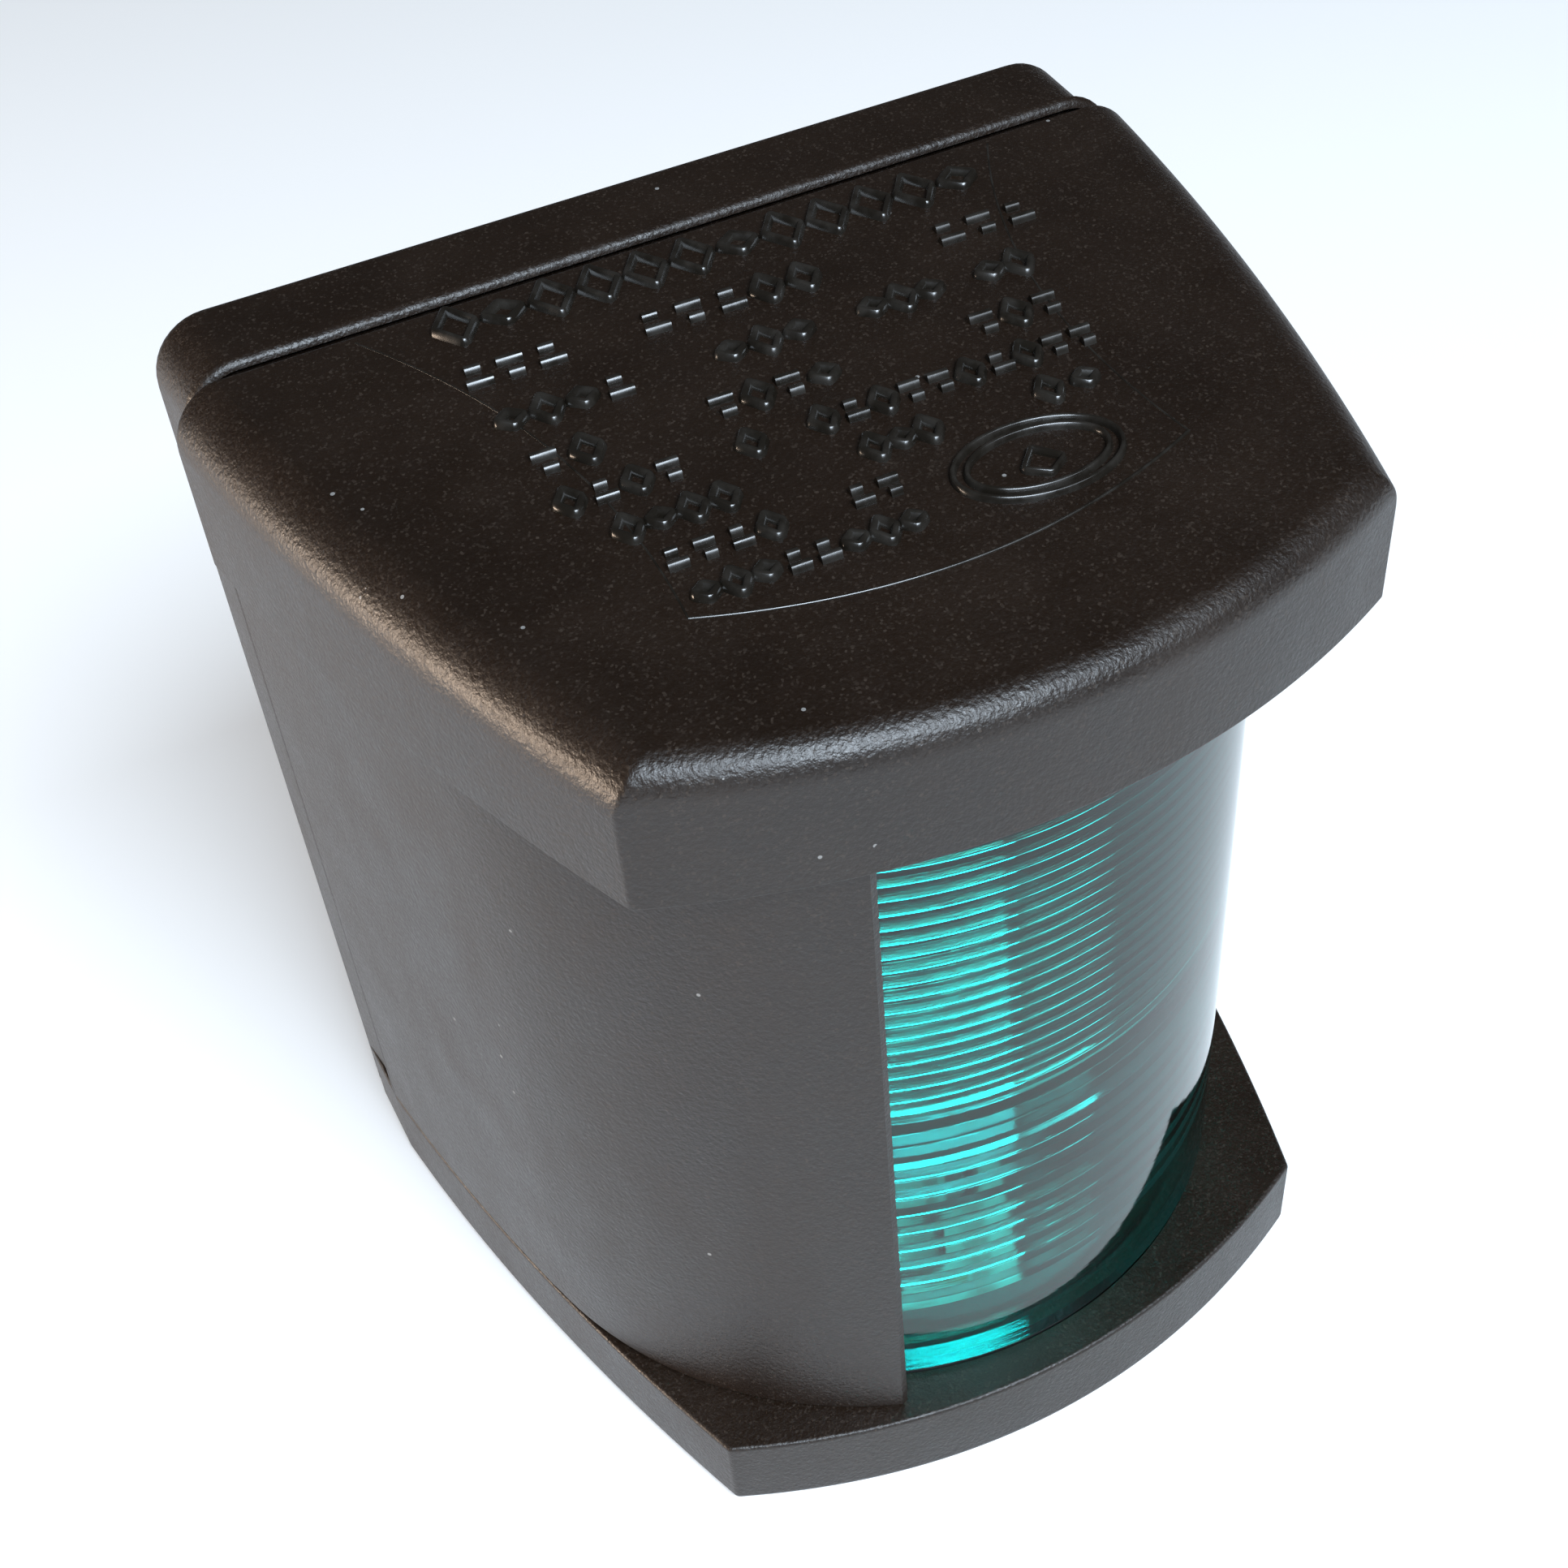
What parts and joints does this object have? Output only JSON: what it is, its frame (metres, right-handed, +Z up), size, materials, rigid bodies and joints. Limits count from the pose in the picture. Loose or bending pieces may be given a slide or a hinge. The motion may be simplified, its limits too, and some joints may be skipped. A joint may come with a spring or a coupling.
{
  "type": "navigation light",
  "caption": "Compact cabin-side navigation light: black two-part housing, a green ribbed cylinder lens between two screens, and a festoon bulb in spring contacts inside.",
  "frame": {"origin": "middle of the bulkhead face, at half the base's height", "axes": "+X towards the bow, -Y out from the bulkhead, +Z up"},
  "size_m": [0.0678, 0.0552, 0.0736],
  "materials": {
    "black_moulding": "fine spark-eroded texture, satin",
    "black_rubber": "matt",
    "green_lens": "polished outside, horizontal prisms inside",
    "brass": "bright turned",
    "steel": "bright stainless",
    "nickel": "nickel plated",
    "pale_moulding": "satin",
    "spring_bronze": "rolled strip",
    "clear_glass": "clear drawn tube",
    "tungsten": "dull wire"
  },
  "bodies": {
    "base": {"base_housing": "black_moulding", "bulkhead_gasket": "black_rubber", "cable_grommet": "black_rubber", "plate_seal": "black_rubber", "lens_foot_seal": "black_rubber", "bulb_holder": "pale_moulding", "holder_screw_left": "steel", "holder_screw_right": "steel", "clamp_plate_upper": "brass", "clamp_plate_lower": "brass", "terminal_screw_upper": "brass", "terminal_screw_lower": "brass"},
    "cover": {"cover_shell": "black_moulding", "lens": "green_lens", "lens_top_seal": "black_rubber", "cover_insert": "brass"},
    "screw_washer": {"cover_screw_washer": "nickel"},
    "screw": {"cover_screw": "steel"},
    "bulb": {"bulb_glass": "clear_glass", "bulb_cap_upper": "nickel", "bulb_cap_lower": "nickel", "bulb_filament": "tungsten"},
    "strip_upper": {"contact_strip_upper": "spring_bronze"},
    "strip_lower": {"contact_strip_lower": "spring_bronze"}
  },
  "joints": [
    {"name": "cover_lift", "type": "slide", "parent": "base", "child": "cover", "axis": [0, 0, 1], "range_m": [0, 0.08]},
    {"name": "screw_back_out", "type": "slide", "parent": "base", "child": "screw_washer", "axis": [0, 0, -1], "range_m": [0, 0.007]},
    {"name": "screw_turn", "type": "hinge", "parent": "screw_washer", "child": "screw", "pos_m": [-0.0215, -0.027, -0.0345], "axis": [0, 0, -1], "range_deg": [0, 3600]},
    {"name": "bulb_pull", "type": "slide", "parent": "base", "child": "bulb", "axis": [0, -1, 0], "range_m": [0, 0.014]},
    {"name": "strip_upper_flex", "type": "hinge", "parent": "base", "child": "strip_upper", "pos_m": [0, -0.01555, 0.0054], "axis": [-1, 0, 0], "range_deg": [0, 3.5], "stiffness_Nm_per_rad": 0.05, "springref_deg": -5.73},
    {"name": "strip_lower_flex", "type": "hinge", "parent": "base", "child": "strip_lower", "pos_m": [0, -0.01555, -0.011], "axis": [1, 0, 0], "range_deg": [0, 3.5], "stiffness_Nm_per_rad": 0.05, "springref_deg": -5.73}
  ],
  "couplings": [
    {"joint": "screw_turn", "follows": "screw_back_out", "rad_per_m": 8976}
  ]
}
